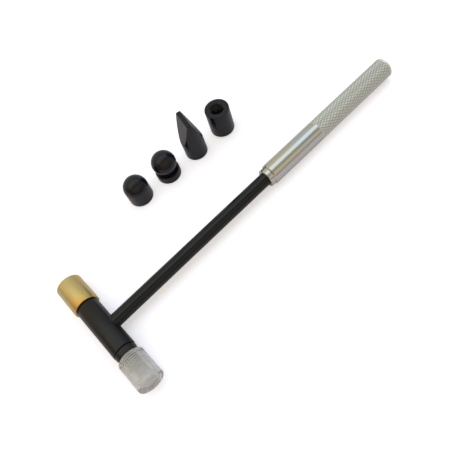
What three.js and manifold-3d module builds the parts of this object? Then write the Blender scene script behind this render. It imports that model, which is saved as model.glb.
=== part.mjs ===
// Interchangeable head hammer with four spare heads, in millimetres, +Z up.
// The hammer lies on a level surface with its brass and clear heads fitted, and the spare heads stand beside it.
// The origin is the middle of the whole set's footprint, on that surface.

import * as THREE from "three";
import { mergeVertices } from "three/addons/utils/BufferGeometryUtils.js";
import Module from "manifold-3d";

// Fits between pieces
const SEAT_GAP = 0.3; // between end faces that seat on each other
const PRESS_GAP = 0.2; // round the shaft in its two press fits
const THREAD_GAP = 0.3; // round a stud, which stands for its thread at the pitch line

// Head barrel, measured from the shaft's axis
const BARREL_DIAMETER = 13.4;
const BARREL_TO_BRASS = 17.7;
const BARREL_TO_CLEAR = 16.8;
const BARREL_CHAMFER = 0.4;
const SHAFT_SEAT_DEPTH = 10.4;
const STUD_HOLE_WEB = 1.6; // metal left between the shaft's seat and a stud's hole

// Studs that the heads screw onto
const STUD_DIAMETER = 6.8;
const STUD_REACH = 8; // how far a stud stands out of its seat
const STUD_CHAMFER = 0.6;
const COLLAR_LENGTH = 3.8;
const COLLAR_DIAMETER = 12.9; // at the barrel
const COLLAR_END_DIAMETER = 11.9; // at the clear head

// Shaft and knurled handle
const SHAFT_DIAMETER = 8;
const SHAFT_CHAMFER = 0.5;
const SHAFT_TO_BUTT = 226.5; // head axis to the end of the handle
const HANDLE_LENGTH = 104.9;
const HANDLE_DIAMETER = 12.8;
const HANDLE_SOCKET_DEPTH = 34;
const NOSE_LENGTH = 3.2;
const NOSE_DIAMETER = 11.4;
const NOSE_CHAMFER = 0.4;
const SHOULDER_CHAMFER = 0.6;
const PLAIN_LENGTH = 40; // polished stretch between nose and knurl
const BUTT_CHAMFER = 0.8;
const KNURL_PITCH = 1.37; // round the handle, from crest to crest
const KNURL_STEP = 1.2; // along the handle, from crest to pit
const KNURL_DEPTH = 0.35;

// What the heads share
const HEAD_DIAMETER = 15.4;
const SOCKET_DEPTH = 10;
const SOCKET_CHAMFER = 0.7;
const MOUTH_EDGE = 0.5; // round of the outer edge at a socket's mouth

// Each head's own form
const BRASS_LENGTH = 19.2;
const BRASS_EDGE = 0.6;
const CLEAR_LENGTH = 19.3;
const CLEAR_EDGE = 1.7;
const CLEAR_END_WALL = 4.6; // solid plastic beyond the socket
const FLAT_LENGTH = 19;
const FLAT_EDGE = 0.9;
const DOME_LENGTH = 18.2;
const BALL_LENGTH = 19.9;
const BALL_BASE_LENGTH = 5.2;
const BALL_BASE_EDGE = 0.5;
const BALL_NECK_DIAMETER = 10.8;
const WEDGE_DIAMETER = 14.2;
const WEDGE_LENGTH = 31.8;
const WEDGE_FLAT_START = 12.3; // height at which the two flats leave the round
const WEDGE_TIP = 2.7; // thickness of the blunt edge
const WEDGE_TURN = -0.226; // turn of the wedge on the surface, in radians

// Where the spare heads stand, from the point below the crossing of shaft and head
const DOME_PLACE = [66.4, 55.1];
const BALL_PLACE = [88.7, 53.6];
const WEDGE_PLACE = [111.3, 52.4];
const FLAT_PLACE = [134.3, 52.3];

// Fineness of the facets
const SIDES = 32;
const EDGE_STEPS = 3;
const ROUND_STEPS = 8;
const MERGE_DISTANCE = 1e-4;
const CUT_MARGIN = 0.5; // how far a cutting shape runs past what it cuts

// Sizes that follow from the ones above
const BARREL_RADIUS = BARREL_DIAMETER / 2;
const STUD_RADIUS = STUD_DIAMETER / 2;
const SOCKET_RADIUS = STUD_RADIUS + THREAD_GAP;
const SHAFT_RADIUS = SHAFT_DIAMETER / 2;
const SHAFT_SEAT_RADIUS = SHAFT_RADIUS + PRESS_GAP;
const SHAFT_SEAT_FLOOR = BARREL_RADIUS - SHAFT_SEAT_DEPTH;
const STUD_HOLE_FLOOR = SHAFT_SEAT_RADIUS + STUD_HOLE_WEB;
const STUD_FOOT = STUD_HOLE_FLOOR + SEAT_GAP;
const COLLAR_START = BARREL_TO_CLEAR + SEAT_GAP;
const COLLAR_END = COLLAR_START + COLLAR_LENGTH;
const HANDLE_RADIUS = HANDLE_DIAMETER / 2;
const HANDLE_START = SHAFT_TO_BUTT - HANDLE_LENGTH;
const HEAD_RADIUS = HEAD_DIAMETER / 2;
const WEDGE_RADIUS = WEDGE_DIAMETER / 2;

const wasm = await Module();
wasm.setup();

// Points of a circular arc in a profile, from one angle to another, both ends included.
function arc(centreRadius, centreHeight, radius, from, to, steps) {
  return Array.from({ length: steps + 1 }, (_, step) => {
    const angle = from + ((to - from) * step) / steps;
    return [centreRadius + radius * Math.cos(angle), centreHeight + radius * Math.sin(angle)];
  });
}

// A surface of revolution about Y through points of radius and height, which start and end on the axis.
function turned(points, sides = SIDES) {
  const profile = points.map(([radius, height]) => new THREE.Vector2(radius, height));
  return new THREE.LatheGeometry(profile, sides);
}

// A plain turned rod with both ends chamfered.
function rod(radius, start, end, chamfer) {
  return [
    [0, start],
    [radius - chamfer, start],
    [radius, start + chamfer],
    [radius, end - chamfer],
    [radius - chamfer, end],
    [0, end],
  ];
}

// The solid inside a closed surface, with its shared corners merged.
function solid(geometry) {
  const bare = new THREE.BufferGeometry();
  bare.setAttribute("position", geometry.getAttribute("position"));
  bare.setIndex(geometry.getIndex());
  const merged = mergeVertices(bare, MERGE_DISTANCE);
  const mesh = new wasm.Mesh({
    numProp: 3,
    vertProperties: merged.getAttribute("position").array,
    triVerts: new Uint32Array(merged.getIndex().array),
  });
  return new wasm.Manifold(mesh);
}

// The surface of a solid, as a geometry.
function surface(made) {
  const mesh = made.getMesh();
  const geometry = new THREE.BufferGeometry();
  geometry.setAttribute("position", new THREE.BufferAttribute(mesh.vertProperties, mesh.numProp));
  geometry.setIndex(new THREE.BufferAttribute(mesh.triVerts, 1));
  return geometry;
}

// A named piece with its own finish.
function piece(name, geometry, color, roughness, metalness) {
  const mesh = new THREE.Mesh(geometry, new THREE.MeshStandardMaterial({ color, roughness, metalness }));
  mesh.name = name;
  return mesh;
}

function blackened(name, geometry) {
  return piece(name, geometry, 0x2b2c2e, 0.4, 0.7);
}

// Barrel: a turned bar with a stud's hole in each end and a cross hole for the shaft.
function barrelGeometry() {
  const holeRadius = SOCKET_RADIUS;
  const bar = turned([
    [0, -STUD_HOLE_FLOOR],
    [holeRadius, -STUD_HOLE_FLOOR],
    [holeRadius, -BARREL_TO_CLEAR],
    [BARREL_RADIUS - BARREL_CHAMFER, -BARREL_TO_CLEAR],
    [BARREL_RADIUS, -BARREL_TO_CLEAR + BARREL_CHAMFER],
    [BARREL_RADIUS, BARREL_TO_BRASS - BARREL_CHAMFER],
    [BARREL_RADIUS - BARREL_CHAMFER, BARREL_TO_BRASS],
    [holeRadius, BARREL_TO_BRASS],
    [holeRadius, STUD_HOLE_FLOOR],
    [0, STUD_HOLE_FLOOR],
  ]);
  const hole = turned([
    [0, SHAFT_SEAT_FLOOR],
    [SHAFT_SEAT_RADIUS, SHAFT_SEAT_FLOOR],
    [SHAFT_SEAT_RADIUS, BARREL_RADIUS + CUT_MARGIN],
    [0, BARREL_RADIUS + CUT_MARGIN],
  ]);
  hole.rotateZ(-Math.PI / 2);
  return surface(solid(bar).subtract(solid(hole)));
}

// Plain stud at the brass end, half in the barrel and half in the head.
function brassStudGeometry() {
  return turned(rod(STUD_RADIUS, STUD_FOOT, BARREL_TO_BRASS + STUD_REACH, STUD_CHAMFER));
}

// Spigot at the clear end: a stud with a collar that tapers towards the head. It points along -Y.
function clearSpigotGeometry() {
  const tip = COLLAR_END + STUD_REACH;
  return turned([
    [0, -tip],
    [STUD_RADIUS - STUD_CHAMFER, -tip],
    [STUD_RADIUS, -tip + STUD_CHAMFER],
    [STUD_RADIUS, -COLLAR_END],
    [COLLAR_END_DIAMETER / 2, -COLLAR_END],
    [COLLAR_DIAMETER / 2, -COLLAR_START - COLLAR_LENGTH / 3],
    [COLLAR_DIAMETER / 2, -COLLAR_START],
    [STUD_RADIUS, -COLLAR_START],
    [STUD_RADIUS, -STUD_FOOT - STUD_CHAMFER],
    [STUD_RADIUS - STUD_CHAMFER, -STUD_FOOT],
    [0, -STUD_FOOT],
  ]);
}

// Shaft, from its seat in the barrel to the floor of the handle's socket, along Y.
function shaftGeometry() {
  const start = SHAFT_SEAT_FLOOR + SEAT_GAP;
  const end = HANDLE_START + HANDLE_SOCKET_DEPTH - SEAT_GAP;
  return turned(rod(SHAFT_RADIUS, start, end, SHAFT_CHAMFER));
}

// Presses a diamond knurl into rows first to last of a turned surface: a lattice of crests and pits.
// Each lattice square is split from pit to pit, so every crest is a four-sided point.
function knurled(geometry, rows, sides, first, last) {
  const position = geometry.getAttribute("position");
  const isPit = (side, row) => row > first && row < last && (side + row) % 2 === 1;
  const pitScale = 1 - KNURL_DEPTH / HANDLE_RADIUS;
  const index = [];
  for (let side = 0; side <= sides; side += 1) {
    for (let row = 0; row < rows; row += 1) {
      const corner = side * rows + row;
      if (isPit(side, row)) {
        position.setX(corner, position.getX(corner) * pitScale);
        position.setZ(corner, position.getZ(corner) * pitScale);
      }
      if (side === sides || row === rows - 1) {
        continue;
      }
      const besides = corner + rows;
      if ((side + row) % 2 === 1) {
        index.push(corner, besides, besides + 1, corner, besides + 1, corner + 1);
      } else {
        index.push(corner, besides, corner + 1, besides, besides + 1, corner + 1);
      }
    }
  }
  geometry.setIndex(index);
  return geometry;
}

// Handle along Y from its nose: socket for the shaft, stepped nose, polished stretch, knurl and chamfered butt.
function handleGeometry() {
  const knurlStart = NOSE_LENGTH + PLAIN_LENGTH;
  const knurlEnd = HANDLE_LENGTH - BUTT_CHAMFER;
  const knurlSteps = Math.round((knurlEnd - knurlStart) / KNURL_STEP);
  const sides = 2 * Math.round((Math.PI * HANDLE_DIAMETER) / KNURL_PITCH);
  const front = [
    [0, HANDLE_SOCKET_DEPTH],
    [SHAFT_SEAT_RADIUS, HANDLE_SOCKET_DEPTH],
    [SHAFT_SEAT_RADIUS, 0],
    [NOSE_DIAMETER / 2 - NOSE_CHAMFER, 0],
    [NOSE_DIAMETER / 2, NOSE_CHAMFER],
    [NOSE_DIAMETER / 2, NOSE_LENGTH],
    [HANDLE_RADIUS - SHOULDER_CHAMFER, NOSE_LENGTH],
    [HANDLE_RADIUS, NOSE_LENGTH + SHOULDER_CHAMFER],
  ];
  const grip = Array.from({ length: knurlSteps + 1 }, (_, step) => [
    HANDLE_RADIUS,
    knurlStart + ((knurlEnd - knurlStart) * step) / knurlSteps,
  ]);
  const butt = [
    [HANDLE_RADIUS - BUTT_CHAMFER, HANDLE_LENGTH],
    [0, HANDLE_LENGTH],
  ];
  const points = [...front, ...grip, ...butt];
  const firstRow = front.length;
  return knurled(turned(points, sides), points.length, sides, firstRow, firstRow + knurlSteps);
}

// Socket and mouth that every head has, with the mouth at height 0 and the head above it.
function socketProfile(depth, mouthEdge, headRadius = HEAD_RADIUS) {
  return [
    [0, depth],
    [SOCKET_RADIUS, depth],
    [SOCKET_RADIUS, SOCKET_CHAMFER],
    [SOCKET_RADIUS + SOCKET_CHAMFER, 0],
    ...arc(headRadius - mouthEdge, mouthEdge, mouthEdge, -Math.PI / 2, 0, EDGE_STEPS),
  ];
}

// Cylindrical head with a flat striking face.
function flatFacedGeometry(length, depth, mouthEdge, faceEdge) {
  return turned([
    ...socketProfile(depth, mouthEdge),
    ...arc(HEAD_RADIUS - faceEdge, length - faceEdge, faceEdge, 0, Math.PI / 2, EDGE_STEPS),
    [0, length],
  ]);
}

// Cylindrical head with a half-round end.
function domeGeometry() {
  const top = arc(0, DOME_LENGTH - HEAD_RADIUS, HEAD_RADIUS, 0, Math.PI / 2, ROUND_STEPS);
  return turned([...socketProfile(SOCKET_DEPTH, MOUTH_EDGE), ...top.slice(0, -1), [0, DOME_LENGTH]]);
}

// Ball on a short base, joined by a narrow neck.
function ballGeometry() {
  const neckRadius = BALL_NECK_DIAMETER / 2;
  const ballCentre = BALL_LENGTH - HEAD_RADIUS;
  const neckAngle = -Math.acos(neckRadius / HEAD_RADIUS);
  const ball = arc(0, ballCentre, HEAD_RADIUS, neckAngle, Math.PI / 2, ROUND_STEPS + EDGE_STEPS);
  const baseTop = BALL_BASE_LENGTH - BALL_BASE_EDGE;
  return turned([
    ...socketProfile(SOCKET_DEPTH, MOUTH_EDGE),
    ...arc(HEAD_RADIUS - BALL_BASE_EDGE, baseTop, BALL_BASE_EDGE, 0, Math.PI / 2, EDGE_STEPS),
    [neckRadius, BALL_BASE_LENGTH],
    ...ball.slice(0, -1),
    [0, BALL_LENGTH],
  ]);
}

// Round head with two flats that close on a blunt straight edge, which runs along Z.
function wedgeGeometry() {
  const blank = turned([
    ...socketProfile(SOCKET_DEPTH, MOUTH_EDGE, WEDGE_RADIUS),
    [WEDGE_RADIUS, WEDGE_LENGTH],
    [0, WEDGE_LENGTH],
  ]);
  const halfTip = WEDGE_TIP / 2;
  const rise = (WEDGE_LENGTH - WEDGE_FLAT_START) / (WEDGE_RADIUS - halfTip);
  const side = WEDGE_RADIUS + CUT_MARGIN;
  const sideTop = WEDGE_FLAT_START - CUT_MARGIN * rise;
  const outline = new THREE.Shape();
  outline.moveTo(-side, -CUT_MARGIN);
  outline.lineTo(side, -CUT_MARGIN);
  outline.lineTo(side, sideTop);
  outline.lineTo(halfTip - CUT_MARGIN / rise, WEDGE_LENGTH + CUT_MARGIN);
  outline.lineTo(-halfTip + CUT_MARGIN / rise, WEDGE_LENGTH + CUT_MARGIN);
  outline.lineTo(-side, sideTop);
  outline.closePath();
  const keep = new THREE.ExtrudeGeometry(outline, { depth: 2 * side, bevelEnabled: false });
  keep.translate(0, 0, -side);
  return surface(solid(blank).intersect(solid(keep)));
}

// A head that stands on the surface on its socket's mouth.
function standing(mesh, [x, y], turn = 0) {
  const stand = new THREE.Group();
  stand.position.set(x, y, 0);
  stand.rotation.z = turn;
  mesh.rotation.x = Math.PI / 2;
  stand.add(mesh);
  return stand;
}

// The hammer in its own frame: origin where the axes of shaft and head cross, shaft along +X, brass head at +Y.
function hammerGroup() {
  const hammer = new THREE.Group();
  hammer.add(blackened("head_barrel", barrelGeometry()));
  hammer.add(blackened("brass_end_stud", brassStudGeometry()));
  hammer.add(blackened("clear_end_spigot", clearSpigotGeometry()));

  const shaft = blackened("shaft", shaftGeometry());
  shaft.rotation.z = -Math.PI / 2;
  hammer.add(shaft);

  const handle = piece("handle", handleGeometry(), 0xb4b5aa, 0.3, 0.9);
  handle.rotation.z = -Math.PI / 2;
  handle.position.x = HANDLE_START;
  hammer.add(handle);

  const brassShape = flatFacedGeometry(BRASS_LENGTH, SOCKET_DEPTH, MOUTH_EDGE, BRASS_EDGE);
  const brass = piece("brass_head", brassShape, 0xc8a858, 0.3, 1);
  brass.position.y = BARREL_TO_BRASS + SEAT_GAP;
  hammer.add(brass);

  const clearSocket = CLEAR_LENGTH - CLEAR_END_WALL;
  const clearShape = flatFacedGeometry(CLEAR_LENGTH, clearSocket, CLEAR_EDGE, CLEAR_EDGE);
  const clear = piece("clear_head", clearShape, 0xc9cac6, 0.15, 0);
  clear.rotation.z = Math.PI;
  clear.position.y = -COLLAR_END - SEAT_GAP;
  hammer.add(clear);
  return hammer;
}

// The hammer rests on its two heads and on the rim of the handle's butt, which is slimmer, so it leans back a little.
const hammer = hammerGroup();
hammer.position.z = HEAD_RADIUS;
hammer.rotation.y = Math.asin((HEAD_RADIUS - HANDLE_RADIUS) / (SHAFT_TO_BUTT - BUTT_CHAMFER));

const flatHead = blackened("flat_head", flatFacedGeometry(FLAT_LENGTH, SOCKET_DEPTH, MOUTH_EDGE, FLAT_EDGE));
const flatStand = standing(flatHead, FLAT_PLACE);
flatHead.rotation.x = -Math.PI / 2;
flatHead.position.z = FLAT_LENGTH;

const set = new THREE.Group();
set.add(hammer);
set.add(standing(blackened("dome_head", domeGeometry()), DOME_PLACE));
set.add(standing(blackened("ball_head", ballGeometry()), BALL_PLACE));
set.add(standing(blackened("wedge_head", wedgeGeometry()), WEDGE_PLACE, WEDGE_TURN));
set.add(flatStand);

const footprint = new THREE.Box3().setFromObject(set, true);
const middle = footprint.getCenter(new THREE.Vector3());
set.position.set(-middle.x, -middle.y, -footprint.min.z);

const group = new THREE.Group();
group.add(set);

export default group;
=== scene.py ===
"""Looks of an interchangeable head hammer and its four spare heads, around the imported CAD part.

Lengths in the classes are in millimetres. The hammer's own frame has its origin where the axes of
shaft and head cross, with the shaft along +X and the brass head at +Y.
"""

import logging
import math
from dataclasses import dataclass, field
from enum import Enum
from typing import Any, Optional, Sequence

import bmesh
import bpy
import numpy as np
from mathutils import Matrix, Vector


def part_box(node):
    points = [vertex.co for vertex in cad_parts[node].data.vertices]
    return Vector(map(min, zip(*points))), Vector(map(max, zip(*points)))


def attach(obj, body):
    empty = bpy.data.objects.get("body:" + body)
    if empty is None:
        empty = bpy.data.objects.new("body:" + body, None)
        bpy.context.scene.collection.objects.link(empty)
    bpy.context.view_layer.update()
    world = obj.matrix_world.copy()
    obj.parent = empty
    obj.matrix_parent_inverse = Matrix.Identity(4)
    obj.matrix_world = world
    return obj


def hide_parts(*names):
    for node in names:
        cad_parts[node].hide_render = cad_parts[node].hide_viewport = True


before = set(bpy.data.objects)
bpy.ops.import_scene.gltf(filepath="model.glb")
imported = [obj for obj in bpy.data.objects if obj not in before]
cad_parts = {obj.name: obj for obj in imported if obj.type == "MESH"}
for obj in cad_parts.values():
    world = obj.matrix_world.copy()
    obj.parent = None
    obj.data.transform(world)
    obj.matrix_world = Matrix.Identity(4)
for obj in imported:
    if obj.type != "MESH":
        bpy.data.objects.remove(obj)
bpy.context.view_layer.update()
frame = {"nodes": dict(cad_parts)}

LOG = logging.getLogger("hammer")
MM = 0.001
TAU = 2 * math.pi
SHARP_ANGLE = math.radians(32)

# Points that are closer than this, in metres, become one
WELD = 1e-8

# Nearly all of a noise pattern lies between these values
NOISE_LOW = 0.3
NOISE_HIGH = 0.7

# Points round a turned piece
COLUMNS = 96
FINE_COLUMNS = 128

# Sizes that more than one class needs, in millimetres
SEAT_GAP = 0.3
BARREL_TO_BRASS = 17.7
BARREL_TO_CLEAR = 16.8
COLLAR_LENGTH = 3.8
COLLAR_START = BARREL_TO_CLEAR + SEAT_GAP
COLLAR_END = COLLAR_START + COLLAR_LENGTH
SHAFT_TO_BUTT = 226.5
HANDLE_RADIUS = 6.4
SOCKET_ROOT = 3.85

# A row of points this far from an edge, in millimetres, keeps the flat beside it flat to the eye
EDGE_ROW = 0.15

Profile = Sequence[tuple[float, float]]
Stops = Sequence[tuple[float, str]]


class Slot(Enum):
    """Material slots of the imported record."""

    BLACK = "black_oxide_steel"
    STUD = "stud_steel"
    PLATE = "plated_steel"
    BRASS = "brass"
    CLEAR = "clear_plastic"


class Axis(Enum):
    """The axis that a turned piece is turned about."""

    X = 0
    Y = 1
    Z = 2


# Colours and nodes


def linear(code: str) -> tuple[float, float, float, float]:
    """Turns an sRGB hex colour into linear values.

    Args:
        code: colour such as "#C8AC5E".
    Returns:
        Linear red, green, blue and an alpha of 1.
    """
    values = [int(code[i : i + 2], 16) / 255 for i in (1, 3, 5)]
    red, green, blue = (v / 12.92 if v <= 0.04045 else ((v + 0.055) / 1.055) ** 2.4 for v in values)
    return red, green, blue, 1.0


def add_node(
    tree: bpy.types.NodeTree,
    kind: str,
    inputs: Optional[dict] = None,
    stops: Stops = (),
    **settings: Any,
) -> bpy.types.Node:
    """Adds one shader node.

    Args:
        tree: node tree that it goes into.
        kind: Blender's node type.
        inputs: values or sockets by input name or number.
        stops: positions and sRGB hex colours of a colour ramp, in rising order.
        settings: properties of the node.
    Returns:
        The new node.
    """
    node = tree.nodes.new(kind)
    for key, value in settings.items():
        setattr(node, key, value)
    for key, value in (inputs or {}).items():
        if isinstance(value, bpy.types.NodeSocket):
            tree.links.new(value, node.inputs[key])
        else:
            node.inputs[key].default_value = value
    for number, (position, code) in enumerate(stops):
        elements = node.color_ramp.elements
        element = elements[number] if number < len(elements) else elements.new(position)
        element.position = position
        element.color = linear(code)
    return node


def pattern(
    tree: bpy.types.NodeTree, size: Sequence[float], detail: float = 3.0
) -> bpy.types.NodeSocket:
    """Adds a noise pattern on Object coordinates.

    Args:
        tree: node tree that it goes into.
        size: length of one wave along X, Y and Z, in millimetres.
        detail: octaves.
    Returns:
        The pattern's factor socket.
    """
    place = add_node(tree, "ShaderNodeTexCoord")
    waves = [1.0 / (length * MM) for length in size]
    inputs = {"Vector": place.outputs["Object"], "Scale": waves}
    scaled = add_node(tree, "ShaderNodeMapping", inputs)
    inputs = {"Vector": scaled.outputs["Vector"], "Scale": 1.0, "Detail": detail}
    return add_node(tree, "ShaderNodeTexNoise", inputs).outputs["Fac"]


def seen_directly(tree: bpy.types.NodeTree) -> bpy.types.NodeSocket:
    """Adds a factor of 1 for rays that come straight from the camera or through the clear plastic.

    Args:
        tree: node tree that it goes into.
    Returns:
        The factor's socket.
    """
    rays = add_node(tree, "ShaderNodeLightPath")
    inputs = {0: rays.outputs["Is Camera Ray"], 1: rays.outputs["Is Transmission Ray"]}
    return add_node(tree, "ShaderNodeMath", inputs, operation="MAXIMUM").outputs["Value"]


def new_material(name: str) -> tuple[bpy.types.Material, bpy.types.NodeTree]:
    """Makes an empty node material.

    Args:
        name: the material's name.
    Returns:
        The material and its node tree.
    """
    material = bpy.data.materials.new(name)
    material.use_nodes = True
    material.node_tree.nodes.clear()
    return material, material.node_tree


# Finishes


@dataclass(frozen=True)
class Blackened:
    """Black oxide on turned steel, lightly oiled.

    It looks nearly black with a soft gloss, mottled brown and blue. The turning marks are drawn
    coarser than real ones, so that they show close up.
    """

    name: str
    marks: Axis
    tones: Stops = ((0.3, "#120F0F"), (0.5, "#121114"), (0.7, "#12151B"))
    rough: tuple[float, float] = (0.275, 0.285)
    gloss: float = 0.32
    mottle_size: float = 6.25
    mark_size: float = 0.385
    mark_length: float = 16.7
    mark_depth: float = 0.02
    mark_strength: float = 0.012

    def material(self) -> bpy.types.Material:
        """Builds the material."""
        material, tree = new_material(self.name)
        mottle = pattern(tree, (self.mottle_size,) * 3)
        colour = add_node(tree, "ShaderNodeValToRGB", {"Fac": mottle}, self.tones)
        size = [self.mark_length] * 3
        size[self.marks.value] = self.mark_size
        marks = pattern(tree, size, detail=2.0)
        inputs = {"Height": marks, "Strength": self.mark_strength, "Distance": self.mark_depth * MM}
        bump = add_node(tree, "ShaderNodeBump", inputs)
        inputs = {"Value": marks, "From Min": NOISE_LOW, "From Max": NOISE_HIGH}
        inputs |= {"To Min": self.rough[0], "To Max": self.rough[1]}
        rough = add_node(tree, "ShaderNodeMapRange", inputs)
        inputs = {
            "Base Color": colour.outputs["Color"],
            "Roughness": rough.outputs["Result"],
            "Specular IOR Level": self.gloss,
            "Normal": bump.outputs["Normal"],
        }
        shader = add_node(tree, "ShaderNodeBsdfPrincipled", inputs)
        add_node(tree, "ShaderNodeOutputMaterial", {"Surface": shader.outputs["BSDF"]})
        return material


@dataclass(frozen=True)
class Ground:
    """Bare ground steel.

    It looks a dull dark grey, with marks that run up the flat. They are drawn coarser than real
    ones, so that they show.
    """

    name: str = "ground_steel_flat"
    tones: Stops = ((0.3, "#48484A"), (0.5, "#515153"), (0.7, "#5A5A5C"))
    mark_size: tuple[float, float, float] = (0.455, 0.455, 11.1)
    mark_depth: float = 0.03
    mark_strength: float = 0.08
    metallic: float = 0.7
    rough: float = 0.5

    def material(self) -> bpy.types.Material:
        """Builds the material."""
        material, tree = new_material(self.name)
        marks = pattern(tree, self.mark_size)
        colour = add_node(tree, "ShaderNodeValToRGB", {"Fac": marks}, self.tones)
        inputs = {"Height": marks, "Strength": self.mark_strength, "Distance": self.mark_depth * MM}
        bump = add_node(tree, "ShaderNodeBump", inputs)
        inputs = {
            "Base Color": colour.outputs["Color"],
            "Metallic": self.metallic,
            "Roughness": self.rough,
            "Normal": bump.outputs["Normal"],
        }
        shader = add_node(tree, "ShaderNodeBsdfPrincipled", inputs)
        add_node(tree, "ShaderNodeOutputMaterial", {"Surface": shader.outputs["BSDF"]})
        return material


@dataclass(frozen=True)
class Plated:
    """Bright zinc plate on turned steel.

    It mirrors the room with a faint yellow and blue tint, and is duller on the knurl. The knurl is
    lighter, a painted glint, and darker in its grooves, painted shade. Its turning marks are drawn
    coarser than real ones, so that they show.
    """

    name: str = "zinc_plated_steel"
    tones: Stops = ((0.3, "#C6C0AF"), (0.5, "#C2BFBA"), (0.7, "#BDC1C8"))
    # crest is a painted glint that lightens the knurl, pit painted shade in its grooves
    crest: str = "#E3E3DF"
    pit: str = "#AEAFA9"
    rough: tuple[float, float] = (0.15, 0.18)
    grip_rough: float = 0.42
    tint_size: tuple[float, float, float] = (25.0, 9.09, 9.09)
    mark_size: tuple[float, float, float] = (0.3125, 20.0, 20.0)
    mark_depth: float = 0.02
    mark_strength: float = 0.04

    def material(self) -> bpy.types.Material:
        """Builds the material. The attribute "grip" is 1 from the knurl on, where it lightens the colour
        with a painted glint, and "pit" 1 in its grooves, where it darkens it with painted shade.
        """
        material, tree = new_material(self.name)
        tint = pattern(tree, self.tint_size)
        marks = pattern(tree, self.mark_size, detail=2.0)
        pits = add_node(tree, "ShaderNodeAttribute", attribute_name="pit")
        grip = add_node(tree, "ShaderNodeAttribute", attribute_name="grip")
        plain = add_node(tree, "ShaderNodeValToRGB", {"Fac": tint}, self.tones)
        # The knurl takes the lighter crest colour, a painted glint, and its grooves the darker pit colour,
        # painted shade
        inputs = {"Factor": grip.outputs["Fac"], "A": plain.outputs["Color"], "B": linear(self.crest)}
        crest = add_node(tree, "ShaderNodeMix", inputs, data_type="RGBA")
        inputs = {"Factor": pits.outputs["Fac"], "A": crest.outputs["Result"], "B": linear(self.pit)}
        colour = add_node(tree, "ShaderNodeMix", inputs, data_type="RGBA")
        inputs = {"Height": marks, "Strength": self.mark_strength, "Distance": self.mark_depth * MM}
        bump = add_node(tree, "ShaderNodeBump", inputs)
        inputs = {"Value": marks, "From Min": NOISE_LOW, "From Max": NOISE_HIGH}
        inputs |= {"To Min": self.rough[0], "To Max": self.rough[1]}
        polish = add_node(tree, "ShaderNodeMapRange", inputs)
        inputs = {
            "Value": grip.outputs["Fac"],
            "To Min": polish.outputs["Result"],
            "To Max": self.grip_rough,
        }
        rough = add_node(tree, "ShaderNodeMapRange", inputs)
        inputs = {
            "Base Color": colour.outputs["Result"],
            "Metallic": 1.0,
            "Roughness": rough.outputs["Result"],
            "Normal": bump.outputs["Normal"],
        }
        shader = add_node(tree, "ShaderNodeBsdfPrincipled", inputs)
        add_node(tree, "ShaderNodeOutputMaterial", {"Surface": shader.outputs["BSDF"]})
        return material


@dataclass(frozen=True)
class Brass:
    """Turned brass with a little tarnish.

    It looks satin yellow, a shade more orange or more grey from place to place. Its turning marks
    are drawn coarser than real ones, so that they show.
    """

    name: str = "turned_brass"
    tones: Stops = ((0.36, "#CC9A48"), (0.5, "#CEB06F"), (0.64, "#C8B98A"))
    rough: tuple[float, float] = (0.3, 0.31)
    tarnish_size: tuple[float, float, float] = (11.1, 25.0, 11.1)
    mark_size: tuple[float, float, float] = (20.0, 0.357, 20.0)

    def material(self) -> bpy.types.Material:
        """Builds the material."""
        material, tree = new_material(self.name)
        tarnish = pattern(tree, self.tarnish_size)
        colour = add_node(tree, "ShaderNodeValToRGB", {"Fac": tarnish}, self.tones)
        marks = pattern(tree, self.mark_size, detail=2.0)
        inputs = {"Value": marks, "From Min": NOISE_LOW, "From Max": NOISE_HIGH}
        inputs |= {"To Min": self.rough[0], "To Max": self.rough[1]}
        rough = add_node(tree, "ShaderNodeMapRange", inputs)
        inputs = {
            "Base Color": colour.outputs["Color"],
            "Metallic": 1.0,
            "Roughness": rough.outputs["Result"],
        }
        shader = add_node(tree, "ShaderNodeBsdfPrincipled", inputs)
        add_node(tree, "ShaderNodeOutputMaterial", {"Surface": shader.outputs["BSDF"]})
        return material


@dataclass(frozen=True)
class Clear:
    """Clear acrylic, moulded smooth outside and frosted in the bore.

    It looks milky grey, with painted shade as soft dark bands in the grooves of the bore's thread, where
    the stud's thread sits.
    """

    name: str
    rough: float
    through: float
    tint: str = "#DEDCDA"
    # Colour of the painted shade in the grooves of the bore's thread
    thread_shade: str = "#1E1E1C"
    index: float = 1.49

    def material(self) -> bpy.types.Material:
        """Builds the material. The attribute "thread" is 1 where painted shade darkens the thread's
        grooves.
        """
        material, tree = new_material(self.name)
        thread = add_node(tree, "ShaderNodeAttribute", attribute_name="thread")
        # The thread's grooves take the darker colour, painted shade
        inputs = {"Factor": thread.outputs["Fac"], "A": linear(self.tint), "B": linear(self.thread_shade)}
        colour = add_node(tree, "ShaderNodeMix", inputs, data_type="RGBA")
        inputs = {
            "Base Color": colour.outputs["Result"],
            "Roughness": self.rough,
            "IOR": self.index,
            "Transmission Weight": self.through,
        }
        shader = add_node(tree, "ShaderNodeBsdfPrincipled", inputs)
        add_node(tree, "ShaderNodeOutputMaterial", {"Surface": shader.outputs["BSDF"]})
        return material


# Surfaces


@dataclass
class Surface:
    """A grid of points that closes round its columns, and the marks that its finish reads.

    points has the shape (rows, columns, 3), in millimetres. split, where given, is true for a cell
    whose diagonal runs from its first corner to its third. The cells of the rows from second_from
    up to second_to, where given, have the second finish.
    """

    points: np.ndarray
    loop: bool = False
    split: Optional[np.ndarray] = None
    marks: dict[str, np.ndarray] = field(default_factory=dict)
    second_from: Optional[int] = None
    second_to: Optional[int] = None

    def cells(self) -> tuple[np.ndarray, np.ndarray]:
        """Finds the corners of each cell.

        Returns:
            Corner numbers with the shape (cells, 4), and the row of each cell.
        """
        rows, columns = self.points.shape[:2]
        row = np.arange(rows if self.loop else rows - 1)
        number = np.arange(rows * columns).reshape(rows, columns)
        here = number[row]
        above = number[(row + 1) % rows]
        corners = np.stack([here, np.roll(here, -1, 1), np.roll(above, -1, 1), above], axis=-1)
        return corners.reshape(-1, 4), np.repeat(row, columns)


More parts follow.
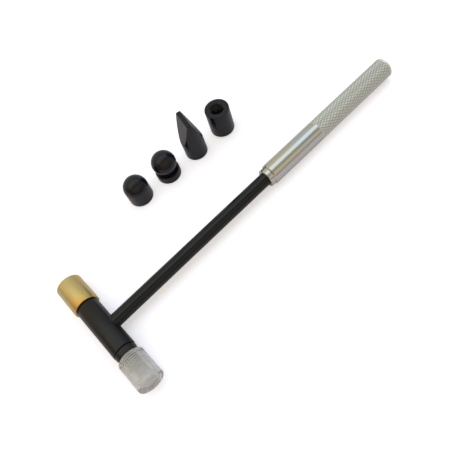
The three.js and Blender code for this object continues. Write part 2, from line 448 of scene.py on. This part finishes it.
def add_mesh(name: str, surface: Surface, materials: Sequence[bpy.types.Material]) -> bpy.types.Object:
    """Makes a mesh object of a surface, with its place in its mesh.

    Args:
        name: the piece's name.
        surface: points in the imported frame, in millimetres.
        materials: the finish, and a second one for the surface's second rows.
    Returns:
        The new object.
    """
    corners, row = surface.cells()
    if surface.split is None:
        faces, face_row = corners, row
    else:
        first = surface.split.reshape(-1)[:, None]
        one = np.where(first, corners[:, [0, 1, 2]], corners[:, [0, 1, 3]])
        two = np.where(first, corners[:, [0, 2, 3]], corners[:, [1, 2, 3]])
        faces, face_row = np.concatenate([one, two]), np.concatenate([row, row])
    mesh = bpy.data.meshes.new(name)
    mesh.from_pydata(surface.points.reshape(-1, 3) * MM, [], faces)
    for mark, values in surface.marks.items():
        attribute = mesh.attributes.new(mark, "FLOAT", "POINT")
        attribute.data.foreach_set("value", values.reshape(-1).astype(np.float32))
    for material in materials:
        mesh.materials.append(material)
    if surface.second_from is not None:
        second = (face_row >= surface.second_from) & (face_row < surface.second_to)
        mesh.polygons.foreach_set("material_index", second.astype(np.int32))
    work = bmesh.new()
    work.from_mesh(mesh)
    bmesh.ops.remove_doubles(work, verts=work.verts, dist=WELD)
    bmesh.ops.recalc_face_normals(work, faces=work.faces)
    work.to_mesh(mesh)
    work.free()
    mesh.shade_smooth()
    mesh.set_sharp_from_angle(angle=SHARP_ANGLE)
    piece = bpy.data.objects.new(name, mesh)
    bpy.context.scene.collection.objects.link(piece)
    return piece


def bend(
    centre: tuple[float, float], radius: float, start: float, end: float, steps: int = 8
) -> list[tuple[float, float]]:
    """Makes an arc of a profile.

    Args:
        centre: the arc's centre, as height and radius.
        radius: the arc's radius.
        start: first angle in degrees, 0 outwards and 90 up.
        end: last angle in degrees.
        steps: number of steps.
    Returns:
        Points as height and radius.
    """
    angles = np.radians(np.linspace(start, end, steps + 1))
    return [(centre[0] + radius * math.sin(a), centre[1] + radius * math.cos(a)) for a in angles]


def around(columns: int) -> np.ndarray:
    """Gives the angles of evenly spread columns, with the shape (1, columns)."""
    return (np.arange(columns) * TAU / columns)[None, :]


def rings(radius: np.ndarray, angle: np.ndarray, height: np.ndarray) -> np.ndarray:
    """Places rows of points round Z: (r cos t, r sin t, h).

    Args:
        radius: distance from Z of each row or point.
        angle: angle round Z of each column or point.
        height: height of each row or point.
    Returns:
        Points with the shape (rows, columns, 3).
    """
    radius, angle, height = np.broadcast_arrays(radius, angle, height)
    return np.stack([radius * np.cos(angle), radius * np.sin(angle), height], axis=-1)


def turn(profile: Profile, columns: int = COLUMNS) -> np.ndarray:
    """Turns a profile of heights and radii about Z.

    Args:
        profile: points from one end to the other, as height and radius.
        columns: number of points round.
    Returns:
        Points with the shape (rows, columns, 3).
    """
    height, radius = np.array(profile, float).T[:, :, None]
    return rings(radius, around(columns), height)


@dataclass(frozen=True)
class Thread:
    """A screw thread as a ripple on a turned surface: r = root + depth * tri(h / pitch - t / 2 pi).

    tri is a wave from 0 to 1 with flat crests and roots, because its flanks are steeper than a plain
    triangle's by the factor flank. The ripple fades in at both ends.
    """

    root: float
    depth: float
    pitch: float = 1.2
    flank: float = 1.5
    fade: float = 0.8
    steps: int = 10

    def rows(self, start: float, end: float, columns: int = COLUMNS) -> np.ndarray:
        """Makes the threaded rows.

        Args:
            start: height of the first row.
            end: height of the last row.
            columns: number of points round.
        Returns:
            Points with the shape (rows, columns, 3), about Z.
        """
        count = max(2, int(abs(end - start) / self.pitch * self.steps))
        height = np.linspace(start, end, count + 1)[:, None]
        angle = around(columns)
        wave = np.abs(2 * np.mod(height / self.pitch - angle / TAU, 1.0) - 1.0)
        wave = np.clip(0.5 + self.flank * (wave - 0.5), 0.0, 1.0)
        inside = np.minimum(np.abs(height - start), np.abs(height - end))
        radius = self.root + self.depth * wave * np.clip(inside / self.fade, 0.0, 1.0)
        return rings(radius, angle, height)


# Places


@dataclass(frozen=True)
class Place:
    """Where a piece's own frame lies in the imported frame: a turn matrix and an origin, in millimetres."""

    turn: np.ndarray
    origin: np.ndarray

    def move(self, points: np.ndarray) -> np.ndarray:
        """Moves points of the piece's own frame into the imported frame."""
        return points @ self.turn.T + self.origin


def along(axis: Axis, reverse: bool = False) -> np.ndarray:
    """Gives the turn that lays a piece turned about Z along another axis.

    Args:
        axis: the axis that +Z goes to.
        reverse: whether +Z goes to its negative side.
    Returns:
        A turn matrix.
    """
    third = np.eye(3)[axis.value] * (-1.0 if reverse else 1.0)
    first = np.eye(3)[(axis.value + 1) % 3]
    return np.stack([first, np.cross(third, first), third], axis=1)


@dataclass(frozen=True)
class HammerFrame:
    """The hammer's own frame, found from the boxes of its CAD nodes.

    butt_chamfer is the one that the CAD handle has.
    """

    butt_chamfer: float = 0.8

    def place(self) -> Place:
        """Finds the frame: the hammer leans back about Y until the butt's rim touches the surface.

        Returns:
            Where the hammer's own frame lies.
        """
        low, high = (np.array(corner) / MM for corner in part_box("brass_head"))
        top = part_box("head_barrel")[1].y / MM
        origin = np.array([(low[0] + high[0]) / 2, top - BARREL_TO_BRASS, (low[2] + high[2]) / 2])
        lean = math.asin((origin[2] - HANDLE_RADIUS) / (SHAFT_TO_BUTT - self.butt_chamfer))
        return Place(np.array(Matrix.Rotation(lean, 3, "Y")), origin)


def standing(node: str, turned: float = 0.0, upside_down: bool = False) -> Place:
    """Finds where a spare head stands.

    Args:
        node: the head's CAD node.
        turned: turn about the upright axis, in radians.
        upside_down: whether the socket's mouth is on top.
    Returns:
        Where the head's own frame, with its mouth at height 0, lies.
    """
    low, high = (np.array(corner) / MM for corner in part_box(node))
    middle = (low + high) / 2
    spin = np.array(Matrix.Rotation(turned, 3, "Z"))
    if upside_down:
        flip = np.diag([1.0, -1.0, -1.0])
        return Place(spin @ flip, np.array([middle[0], middle[1], high[2]]))
    return Place(spin, np.array([middle[0], middle[1], low[2]]))


def dress(piece: bpy.types.Object, body: str, slot: Slot, *nodes: str) -> None:
    """Puts a piece on its body and hides the nodes that it stands for.

    Args:
        piece: the new piece.
        body: CAD body that it moves with.
        slot: its material slot; not used.
        nodes: CAD nodes that it stands for.
    """
    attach(piece, body)
    if nodes:
        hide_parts(*nodes)
    LOG.info("%s rides on %s, %d faces", piece.name, body, len(piece.data.polygons))


# The hammer


@dataclass
class HeadBarrel:
    """The hammer's blackened barrel with its two studs.

    rim gives the section of the rim round the shaft, lighter as a painted highlight at the hole's edge, as
    distance out from the seat and lift off the barrel.
    """

    frame: Place
    radius: float = 6.7
    edge: float = 0.4
    hole: float = 3.8
    seat: float = 4.05
    rim: Profile = ((0.0, -0.3), (0.12, 0.03), (0.3, 0.03), (0.36, -0.2))
    collar_radius: float = 6.45
    collar_end_radius: float = 5.95
    collar_edge: float = 0.3
    collar_straight: float = COLLAR_LENGTH / 3
    collar_taper: float = 10.0
    stud_reach: float = 8.0
    stud_foot: float = 10.0
    stud_tip: float = 0.6
    stud_tip_in: float = 0.35
    thread: Thread = Thread(root=3.2, depth=0.5)

    def build(self) -> None:
        """Makes the barrel, the brass end's stud, the rim round the shaft, lighter as a painted highlight,
        and the spigot.
        """
        black = Blackened("black_oxide_barrel", Axis.Y).material()
        lay = along(Axis.Y)
        barrel = Surface(self.frame.move(turn(self.barrel_profile(), FINE_COLUMNS) @ lay.T), loop=True)
        dress(add_mesh("barrel_turned", barrel, [black]), "hammer", Slot.BLACK, "head_barrel")
        stud = self.stud_rows(BARREL_TO_BRASS - self.stud_foot, BARREL_TO_BRASS + self.stud_reach)
        tones = ((0.3, "#3A3A3C"), (0.5, "#4A4A4C"), (0.7, "#56575A"))
        steel = Blackened("oiled_steel_stud", Axis.Y, tones).material()
        made = add_mesh("brass_stud_threaded", Surface(self.frame.move(stud @ lay.T)), [steel])
        dress(made, "hammer", Slot.STUD, "brass_end_stud")
        # Painted highlight: the rim is drawn in grey steel tones, lighter than the barrel, for the light
        # that the hole's edge catches
        tones = ((0.3, "#4A4A4C"), (0.5, "#5C5C5E"), (0.7, "#6E6E70"))
        rim_highlight = Ground("rim_painted_highlight", tones).material()
        rim = add_mesh("shaft_hole_rim", Surface(self.frame.move(self.rim_rows()), loop=True), [rim_highlight])
        dress(rim, "hammer", Slot.BLACK)
        spigot = Surface(self.frame.move(self.spigot_rows() @ along(Axis.Y, True).T))
        dress(add_mesh("clear_spigot_threaded", spigot, [black]), "hammer", Slot.BLACK, "clear_end_spigot")

    def rim_rows(self) -> np.ndarray:
        """Makes the rim of the shaft's hole, lighter as a painted highlight, which hugs the barrel: x =
        sqrt(R^2 - z^2) + lift.

        Returns:
            Points in the hammer's own frame, from the shaft outwards.
        """
        out, lift = np.array(self.rim).T[:, :, None]
        angle = around(COLUMNS)
        side = (self.seat + out) * np.cos(angle)
        rise = (self.seat + out) * np.sin(angle)
        return np.stack([np.sqrt(self.radius**2 - rise**2) + lift, side, rise], axis=-1)

    def barrel_profile(self) -> Profile:
        """Gives the barrel's section as a closed loop, from its clear end to its brass end."""
        low, high, edge = -BARREL_TO_CLEAR, BARREL_TO_BRASS, self.edge
        return [
            (low, self.hole),
            (low, self.radius - edge - EDGE_ROW),
            *bend((low + edge, self.radius - edge), edge, -90, 0, 4),
            *bend((high - edge, self.radius - edge), edge, 0, 90, 4),
            (high, self.radius - edge - EDGE_ROW),
            (high, self.hole),
        ]

    def stud_rows(self, start: float, end: float) -> np.ndarray:
        """Makes a threaded stud with a chamfered tip.

        Args:
            start: height of its foot.
            end: height of its tip.
        Returns:
            Points about Z.
        """
        thread = self.thread.rows(start, end - self.stud_tip)
        foot = turn([(start, 0.0)])
        tip = turn([(end, self.thread.root - self.stud_tip_in), (end, 0.0)])
        return np.concatenate([foot, thread, tip])

    def spigot_rows(self) -> np.ndarray:
        """Makes the collar, which tapers towards the head, and the threaded stud, pointing along +Z."""
        edge = self.collar_edge
        collar = [
            (COLLAR_START, 0.0),
            (COLLAR_START, self.collar_radius - edge),
            *bend((COLLAR_START + edge, self.collar_radius - edge), edge, -90, 0, 4),
            (COLLAR_START + self.collar_straight, self.collar_radius),
            *bend((COLLAR_END - edge, self.collar_end_radius - edge), edge, self.collar_taper, 90, 4),
            (COLLAR_END, self.thread.root),
        ]
        stud = self.stud_rows(COLLAR_END, COLLAR_END + self.stud_reach)
        return np.concatenate([turn(collar), stud[1:]])


@dataclass
class Shaft:
    """The blackened rod between barrel and handle."""

    frame: Place
    radius: float = 4.0
    start: float = 0.0
    end: float = 150.0

    def build(self) -> None:
        """Makes the rod."""
        tones = ((0.3, "#060608"), (0.5, "#06080C"), (0.7, "#080B11"))
        black = Blackened("black_oxide_shaft", Axis.X, tones, rough=(0.16, 0.17)).material()
        profile = [(self.start, 0.0), (self.start, self.radius), (self.end, self.radius), (self.end, 0.0)]
        rod = Surface(self.frame.move(turn(profile) @ along(Axis.X).T))
        dress(add_mesh("shaft_rod", rod, [black]), "hammer", Slot.BLACK, "shaft")


@dataclass
class Handle:
    """The plated handle: stepped nose, polished stretch, diamond knurl and butt with a round edge."""

    frame: Place
    radius: float = HANDLE_RADIUS
    length: float = 104.9
    end: float = SHAFT_TO_BUTT
    nose_length: float = 3.2
    nose_radius: float = 5.7
    nose_edge: float = 0.4
    shoulder: float = 0.6
    plain_length: float = 40.0
    butt_edge: float = 1.0
    butt_plain: float = 0.2
    bore: float = 4.15
    bore_shown: float = 3.0
    knurl_starts: int = 21
    knurl_lead: float = 3.1
    knurl_depth: float = 0.3
    knurl_crest: float = 0.12
    knurl_gap: float = 0.3
    knurl_fade: float = 0.5
    knurl_grain: int = 10

    @property
    def start(self) -> float:
        """Gives the distance of the nose from the head's axis."""
        return self.end - self.length

    def build(self) -> None:
        """Makes the handle in one surface."""
        plate = Plated().material()
        columns = self.knurl_starts * self.knurl_grain
        knurl, pit, split = self.knurl_rows(columns)
        front, back = turn(self.front_profile(), columns), turn(self.back_profile(), columns)
        points = np.concatenate([front, knurl, back])
        rows = slice(len(front), len(front) + len(knurl))
        # pit also sets the painted shade in the knurl's grooves, and grip its painted glint
        marks = {"pit": np.zeros(points.shape[:2]), "grip": np.zeros(points.shape[:2])}
        marks["pit"][rows] = pit
        marks["grip"][len(front) :] = 1.0
        cells = np.zeros((len(points) - 1, columns), bool)
        cells[len(front) : len(front) + len(knurl) - 1] = split
        surface = Surface(self.frame.move(points @ along(Axis.X).T), split=cells, marks=marks)
        dress(add_mesh("handle_knurled", surface, [plate]), "hammer", Slot.PLATE, "handle")

    def front_profile(self) -> Profile:
        """Gives the nose, the shoulder and the polished stretch, from the bore outwards."""
        step = self.start + self.nose_length
        return [
            (self.start + self.bore_shown, self.bore),
            (self.start, self.bore),
            (self.start, self.nose_radius - self.nose_edge),
            (self.start + self.nose_edge, self.nose_radius),
            (step, self.nose_radius),
            (step, self.radius - self.shoulder),
            (step + self.shoulder, self.radius),
            (step + self.plain_length - self.knurl_gap, self.radius),
        ]

    def back_profile(self) -> Profile:
        """Gives the butt with its rounded edge."""
        edge = self.butt_edge
        return [
            (self.end - edge - self.butt_plain, self.radius),
            *bend((self.end - edge, self.radius - edge), edge, 0, 90, 8),
            (self.end, 0.0),
        ]

    def knurl_rows(self, columns: int) -> tuple[np.ndarray, np.ndarray, np.ndarray]:
        """Makes the knurl: two helical sets of grooves, u and v = starts * t / 2 pi +- h / lead.

        r = R - depth * pit, where pit grows from 0 to 1 with max(|2 frac(u) - 1|, |2 frac(v) - 1|), so
        each diamond is a four-sided point with a small flat crest. The grooves fade out at both ends.

        Args:
            columns: number of points round.
        Returns:
            Points about Z, how deep each lies from 0 to 1, which also sets the painted shade in the
            grooves, and the way that each cell is split.
        """
        start = self.start + self.nose_length + self.plain_length
        end = self.end - self.butt_edge - self.butt_plain
        rows = int(round((end - start) / self.knurl_lead * self.knurl_grain))
        height = (start + np.arange(rows + 1) * self.knurl_lead / self.knurl_grain)[:, None]
        angle = around(columns)
        u = self.knurl_starts * angle / TAU + (height - start) / self.knurl_lead
        v = self.knurl_starts * angle / TAU - (height - start) / self.knurl_lead
        groove_u, groove_v = (np.abs(2 * np.mod(w, 1.0) - 1.0) for w in (u, v))
        groove = np.maximum(groove_u, groove_v)
        pit = np.clip((groove - self.knurl_crest) / (1.0 - self.knurl_crest), 0.0, 1.0)
        inside = np.minimum(height - start, height[-1] - height)
        pit = pit * np.clip(inside / self.knurl_fade, 0.0, 1.0)
        points = rings(self.radius - self.knurl_depth * pit, angle, height)
        beside_u, beside_v = (g + np.roll(g, -1, 1) for g in (groove_u, groove_v))
        middle_u, middle_v = (0.25 * (b[:-1] + b[1:]) for b in (beside_u, beside_v))
        return points, pit, middle_v > middle_u


# The heads


@dataclass
class Head:
    """A turned head with a threaded socket, in its own frame: mouth at height 0 and head above it.

    A head with two finishes has the second one in its socket, where its thread's grooves also get
    painted shade. The shade begins at the share groove_shade_start of the thread's depth and darkens by
    groove_shade_slope from there. It fades by groove_shade_fade towards the height gripped, about where the
    stud ends.
    """

    name: str
    node: str
    slot: Slot
    place: Place
    length: float
    materials: list[bpy.types.Material]
    radius: float = 7.7
    mouth_edge: float = 0.5
    face_edge: float = 0.6
    depth: float = 10.0
    floor_edge: float = 1.0
    mouth: float = 0.7
    mouth_flare: float = 0.85
    threaded: float = 9.0
    gripped: float = 7.5
    # Shape of the painted shade in the grooves of the socket's thread
    groove_shade_start: float = 0.4
    groove_shade_slope: float = 3.0
    groove_shade_fade: float = 1.6
    thread: Thread = Thread(root=SOCKET_ROOT, depth=0.42)
    columns: int = FINE_COLUMNS

    def build(self) -> None:
        """Makes the head."""
        socket, outside = self.socket_rows(), turn(self.outside(), self.columns)
        surface = Surface(self.place.move(np.concatenate([socket, outside])))
        if len(self.materials) > 1:
            surface.second_from, surface.second_to = 0, len(socket) - 1
            # Painted shade: a darker colour in the grooves of the socket's thread, fading towards the
            # height gripped
            ripple = (np.hypot(socket[..., 0], socket[..., 1]) - self.thread.root) / self.thread.depth
            height = socket[..., 2]
            fade = np.clip(self.groove_shade_fade * (1.0 - height / self.gripped), 0.0, 1.0)
            groove_shade = np.clip(self.groove_shade_slope * (ripple - self.groove_shade_start), 0.0, 1.0)
            groove_shade = groove_shade * fade * (height > self.mouth)
            surface.marks["thread"] = np.concatenate([groove_shade, np.zeros(outside.shape[:2])])
        dress(add_mesh(self.name, surface, self.materials), self.node, self.slot, self.node)

    def socket_rows(self) -> np.ndarray:
        """Makes the threaded socket from its floor to the rim of its chamfer."""
        edge = self.floor_edge
        round_off = bend((self.depth - edge, self.thread.root - edge), edge, 90, 0, 6)
        floor = turn([(self.depth, 0.0), *round_off], self.columns)
        thread = self.thread.rows(min(self.depth - edge, self.threaded), self.mouth, self.columns)
        rim = turn([(0.0, self.thread.root + self.mouth_flare)], self.columns)
        return np.concatenate([floor, thread, rim])

    def mouth_profile(self) -> list[tuple[float, float]]:
        """Gives the rounded outer edge of the mouth."""
        edge = self.mouth_edge
        return bend((edge, self.radius - edge), edge, -90, 0, 6)

    def outside(self) -> Profile:
        """Gives the outside, with a flat striking face."""
        edge = self.face_edge
        face = bend((self.length - edge, self.radius - edge), edge, 0, 90, 8)
        return [*self.mouth_profile(), *face, (self.length, 0.0)]


@dataclass
class DomeHead(Head):
    """A head with a half-round end."""

    def outside(self) -> Profile:
        """Gives the outside, with a half-round end."""
        return [*self.mouth_profile(), *bend((self.length - self.radius, 0.0), self.radius, 0, 90, 40)]


@dataclass
class BallHead(Head):
    """A ball on a short base, joined by a narrow neck."""

    base: float = 5.2
    base_edge: float = 0.5
    neck: float = 5.4

    def outside(self) -> Profile:
        """Gives the base, the neck and the ball."""
        start = -math.degrees(math.acos(self.neck / self.radius))
        rim = bend((self.base - self.base_edge, self.radius - self.base_edge), self.base_edge, 0, 90, 6)
        ball = bend((self.length - self.radius, 0.0), self.radius, start, 90, 56)
        return [*self.mouth_profile(), *rim, (self.base, self.neck + EDGE_ROW), *ball]


@dataclass
class WedgeHead(Head):
    """A round head with two ground flats that close on a blunt straight edge along its own Y.

    A face belongs to a flat when it faces along X by more than flat_facing and lies further out than
    the share flat_share of the distance to the flat.
    """

    flat_start: float = 12.3
    flat_facing: float = 0.93
    flat_share: float = 0.9
    tip: float = 2.7
    tip_bevel: float = 0.25
    tip_bevel_in: float = 0.2
    tip_round: float = 0.12
    mouth_row: float = 0.4
    least_half_angle: float = 0.02
    rows: int = 48
    flat_columns: int = 24
    side_columns: int = 24

    def __post_init__(self) -> None:
        """Takes the number of points round from the flats and sides."""
        self.columns = 2 * (self.flat_columns + self.side_columns)

    def build(self) -> None:
        """Makes the head, with its flats in the second finish."""
        lower = np.concatenate([self.socket_rows(), turn(self.mouth_profile(), self.columns)])
        points = np.concatenate([self.aligned(lower), self.upper_rows()])
        piece = add_mesh(self.name, Surface(self.place.move(points)), self.materials)
        self.grind(piece)
        dress(piece, self.node, self.slot, self.node)

    def half_width(self, height: np.ndarray) -> np.ndarray:
        """Gives half the distance between the flats at a height."""
        rise = (self.length - self.flat_start) / (self.radius - self.tip / 2)
        return np.minimum(self.radius, self.radius - (height - self.flat_start) / rise)

    def angles(self, height: np.ndarray) -> np.ndarray:
        """Spreads the columns so that some lie on the creases between flats and round sides.

        Args:
            height: heights with the shape (rows, 1).
        Returns:
            Angles with the shape (rows, columns).
        """
        half = np.arccos(np.clip(self.half_width(height) / self.radius, -1.0, 1.0))
        half = np.maximum(half, self.least_half_angle)
        flat = np.linspace(-1.0, 1.0, self.flat_columns, endpoint=False)[None, :]
        side = np.linspace(0.0, 1.0, self.side_columns, endpoint=False)[None, :]
        rest = math.pi - 2 * half
        front = np.concatenate([half * flat, half + rest * side], axis=1)
        return np.concatenate([front, math.pi + front], axis=1)

    def aligned(self, points: np.ndarray) -> np.ndarray:
        """Turns the columns of round rows onto the flats' columns.

        Args:
            points: rows of a turned surface about Z.
        Returns:
            The same rows with the columns of the flats.
        """
        radius = np.hypot(points[..., 0], points[..., 1])
        angle = self.angles(np.zeros((len(points), 1)))
        return rings(radius, angle, points[..., 2])

    def upper_rows(self) -> np.ndarray:
        """Makes the body: r = min(R, w(h) / |cos t|), which is flat where the flats cut the round.

        Returns:
            Points from above the mouth to the middle of the tip.
        """
        flat_end = self.length - self.tip_bevel
        flats = np.linspace(self.flat_start, flat_end, self.rows)
        height = np.concatenate([[self.mouth_edge + self.mouth_row], flats, [self.length]])[:, None]
        angle = self.angles(np.minimum(height, flat_end))
        limit = self.half_width(height) - np.where(height > flat_end, self.tip_bevel_in, 0.0)
        radius = np.minimum(self.radius, limit / np.maximum(np.abs(np.cos(angle)), 1e-6))
        radius = radius - np.where(height > flat_end, self.tip_round, 0.0)
        rows = rings(radius, angle, height)
        close = rows[-1:].copy()
        close[..., 0] = 0.0
        return np.concatenate([rows, close])

    def grind(self, piece: bpy.types.Object) -> None:
        """Gives the faces of the two flats the second finish.

        Args:
            piece: the head's object.
        """
        normals = np.empty(len(piece.data.polygons) * 3, np.float32)
        centres = np.empty_like(normals)
        piece.data.polygons.foreach_get("normal", normals)
        piece.data.polygons.foreach_get("center", centres)
        normal, centre = normals.reshape(-1, 3), centres.reshape(-1, 3)
        own = (centre / MM - self.place.origin) @ self.place.turn
        facing = np.abs((normal @ self.place.turn)[:, 0])
        outer = np.abs(own[:, 0]) > self.flat_share * self.half_width(own[:, 2])
        flat = (facing > self.flat_facing) & (own[:, 2] > self.flat_start) & outer
        piece.data.polygons.foreach_set("material_index", flat.astype(np.int32))
        piece.data.update()


@dataclass
class HeadSet:
    """The two fitted heads and the four spare ones."""

    hammer: Place
    mouth_to_brass: float = BARREL_TO_BRASS + SEAT_GAP
    mouth_to_clear: float = COLLAR_END + SEAT_GAP

    def fitted(self, mouth: float, reverse: bool) -> Place:
        """Finds where a fitted head lies.

        Args:
            mouth: distance of its mouth from the shaft's axis.
            reverse: whether it is at the clear end.
        Returns:
            Where the head's own frame lies.
        """
        side = -1.0 if reverse else 1.0
        origin = self.hammer.move(np.array([0.0, side * mouth, 0.0]))
        return Place(self.hammer.turn @ along(Axis.Y, reverse), origin)

    def build(self) -> None:
        """Makes the six heads."""
        tones = ((0.3, "#100E15"), (0.5, "#11111A"), (0.7, "#121420"))
        black = Blackened("black_oxide_spare", Axis.Z, tones, rough=(0.2, 0.26)).material()
        outside = Clear("moulded_acrylic_outside", rough=0.06, through=0.76).material()
        bore = Clear("frosted_acrylic_bore", rough=0.3, through=0.5).material()
        Head(
            name="brass_turned",
            node="brass_head",
            slot=Slot.BRASS,
            place=self.fitted(self.mouth_to_brass, reverse=False),
            length=19.2,
            materials=[Brass().material()],
        ).build()
        Head(
            name="clear_moulded",
            node="clear_head",
            slot=Slot.CLEAR,
            place=self.fitted(self.mouth_to_clear, reverse=True),
            length=19.3,
            materials=[outside, bore],
            mouth_edge=1.7,
            face_edge=1.7,
            depth=14.7,
            thread=Thread(root=SOCKET_ROOT, depth=0.28),
        ).build()
        DomeHead(
            name="dome_turned",
            node="dome_head",
            slot=Slot.BLACK,
            place=standing("dome_head"),
            length=18.2,
            materials=[black],
        ).build()
        BallHead(
            name="ball_turned",
            node="ball_head",
            slot=Slot.BLACK,
            place=standing("ball_head"),
            length=19.9,
            materials=[black],
        ).build()
        WedgeHead(
            name="wedge_ground",
            node="wedge_head",
            slot=Slot.BLACK,
            place=standing("wedge_head", turned=-0.226),
            length=31.8,
            materials=[black, Ground().material()],
            radius=7.1,
        ).build()
        Head(
            name="flat_turned",
            node="flat_head",
            slot=Slot.BLACK,
            place=standing("flat_head", upside_down=True),
            length=19.0,
            materials=[black],
            face_edge=0.9,
        ).build()


# The studio


@dataclass
class Studio:
    """Camera at the photo's angle, white floor, one large soft light and warm walls.

    eye and sensor are in millimetres, focal and frame_side in pixels, and other lengths in metres.
    """

    eye: tuple[float, float, float] = (-79.0, -148.1, 258.7)
    right: tuple[float, float, float] = (0.7104, -0.6746, -0.2005)
    forward: tuple[float, float, float] = (0.1892, 0.4574, -0.8689)
    focal: float = 516.5
    frame_side: float = 452.0
    sensor: float = 36.0
    clip_start: float = 0.01
    floor_half: float = 3.0
    floor_glow: float = 0.43
    light_from: tuple[float, float, float] = (-0.06, 0.18, 0.95)
    light_distance: float = 0.9
    light_size: tuple[float, float] = (2.4, 0.62)
    light_watts: float = 3.4
    light_colour: tuple[float, float, float] = (0.82, 0.95, 1.0)
    floor_colour: str = "#F0EDFF"
    room: Stops = (
        (-90.0, "#CFCDC6"),
        (-73.0, "#CCC2AE"),
        (-62.0, "#F2E8CF"),
        (-51.0, "#FFF6D6"),
        (-40.0, "#EAE2C2"),
        (-29.0, "#BFBB9E"),
        (-18.0, "#C6C7BB"),
        (-10.0, "#DFE4E2"),
        (52.0, "#F6F6E7"),
        (70.0, "#EEE8D0"),
        (90.0, "#DDD5BB"),
    )
    sides: Stops = ((0.03, "#B4A083"), (0.13, "#FFEACA"), (0.4, "#FFFBF2"), (0.9, "#D8E2F0"))

    def build(self) -> None:
        """Makes the whole studio."""
        self.camera()
        self.floor()
        self.light()
        self.world()
        bpy.context.scene.view_settings.view_transform = "Standard"

    def camera(self) -> None:
        """Places the camera."""
        data = bpy.data.cameras.new("camera")
        data.sensor_width = self.sensor
        data.lens = self.focal / self.frame_side * self.sensor
        data.clip_start = self.clip_start
        ahead = Vector(self.forward).normalized()
        right = Vector(self.right)
        right = (right - right.dot(ahead) * ahead).normalized()
        upward = right.cross(ahead)
        camera = bpy.data.objects.new("camera", data)
        turned = Matrix((right, upward, -ahead)).transposed().to_4x4()
        camera.matrix_world = Matrix.Translation(Vector(self.eye) * MM) @ turned
        bpy.context.scene.collection.objects.link(camera)
        bpy.context.scene.camera = camera

    def floor(self) -> None:
        """Makes a white floor that keeps its shadows and reaches white for the camera."""
        mesh = bpy.data.meshes.new("floor")
        half = self.floor_half
        corners = [(-half, -half, 0), (half, -half, 0), (half, half, 0), (-half, half, 0)]
        mesh.from_pydata(corners, [], [(0, 1, 2, 3)])
        material, tree = new_material("floor_white")
        diffuse = add_node(tree, "ShaderNodeBsdfDiffuse", {"Color": linear(self.floor_colour)})
        glow = add_node(tree, "ShaderNodeEmission", {"Strength": self.floor_glow})
        seen = add_node(tree, "ShaderNodeMixShader", {0: seen_directly(tree), 2: glow.outputs["Emission"]})
        inputs = {0: diffuse.outputs["BSDF"], 1: seen.outputs["Shader"]}
        both = add_node(tree, "ShaderNodeAddShader", inputs)
        add_node(tree, "ShaderNodeOutputMaterial", {"Surface": both.outputs["Shader"]})
        mesh.materials.append(material)
        floor = bpy.data.objects.new("floor", mesh)
        bpy.context.scene.collection.objects.link(floor)

    def light(self) -> None:
        """Hangs the soft light over the handle, facing the set."""
        data = bpy.data.lights.new("softbox", "AREA")
        data.shape = "RECTANGLE"
        data.size, data.size_y = self.light_size
        data.energy = self.light_watts
        data.color = self.light_colour
        direction = Vector(self.light_from).normalized()
        long_side = Vector((1.0, 0.0, 0.0))
        long_side = (long_side - long_side.dot(direction) * direction).normalized()
        turned = Matrix((long_side, direction.cross(long_side), direction)).transposed().to_4x4()
        light = bpy.data.objects.new("softbox", data)
        light.matrix_world = Matrix.Translation(direction * self.light_distance) @ turned
        bpy.context.scene.collection.objects.link(light)

    def world(self) -> None:
        """Makes the room: a ramp from the -Y horizon over the top to the +Y one, warm at -X and cool at +X.

        Seen directly it is plain white.
        """
        world = bpy.data.worlds.new("room")
        bpy.context.scene.world = world
        world.use_nodes = True
        tree = world.node_tree
        tree.nodes.clear()
        place = add_node(tree, "ShaderNodeTexCoord")
        parts = add_node(tree, "ShaderNodeSeparateXYZ", {"Vector": place.outputs["Generated"]})
        inputs = {0: parts.outputs["Y"], 1: parts.outputs["Z"]}
        arch = add_node(tree, "ShaderNodeMath", inputs, operation="ARCTAN2")
        inputs = {"Value": arch.outputs["Value"], "From Min": -math.pi / 2, "From Max": math.pi / 2}
        over = add_node(tree, "ShaderNodeMapRange", inputs)
        inputs = {"Value": parts.outputs["X"], "From Min": -1.0, "From Max": 1.0}
        across = add_node(tree, "ShaderNodeMapRange", inputs)
        stops = [((angle + 90.0) / 180.0, code) for angle, code in self.room]
        arched = add_node(tree, "ShaderNodeValToRGB", {"Fac": over.outputs["Result"]}, stops)
        sided = add_node(tree, "ShaderNodeValToRGB", {"Fac": across.outputs["Result"]}, self.sides)
        inputs = {"Factor": 1.0, "A": arched.outputs["Color"], "B": sided.outputs["Color"]}
        colour = add_node(tree, "ShaderNodeMix", inputs, data_type="RGBA", blend_type="MULTIPLY")
        shade = add_node(tree, "ShaderNodeBackground", {"Color": colour.outputs["Result"], "Strength": 1.0})
        white = add_node(tree, "ShaderNodeBackground", {"Color": linear("#FFFFFF"), "Strength": 1.0})
        inputs = {0: seen_directly(tree), 1: shade.outputs["Background"], 2: white.outputs["Background"]}
        seen = add_node(tree, "ShaderNodeMixShader", inputs)
        add_node(tree, "ShaderNodeOutputWorld", {"Surface": seen.outputs["Shader"]})


def main() -> None:
    """Builds the hammer, its heads and the studio."""
    logging.basicConfig(level=logging.INFO, format="%(message)s")
    hammer = HammerFrame().place()
    Studio().build()
    HeadBarrel(hammer).build()
    Shaft(hammer).build()
    Handle(hammer).build()
    HeadSet(hammer).build()


if __name__ == "__main__":
    main()
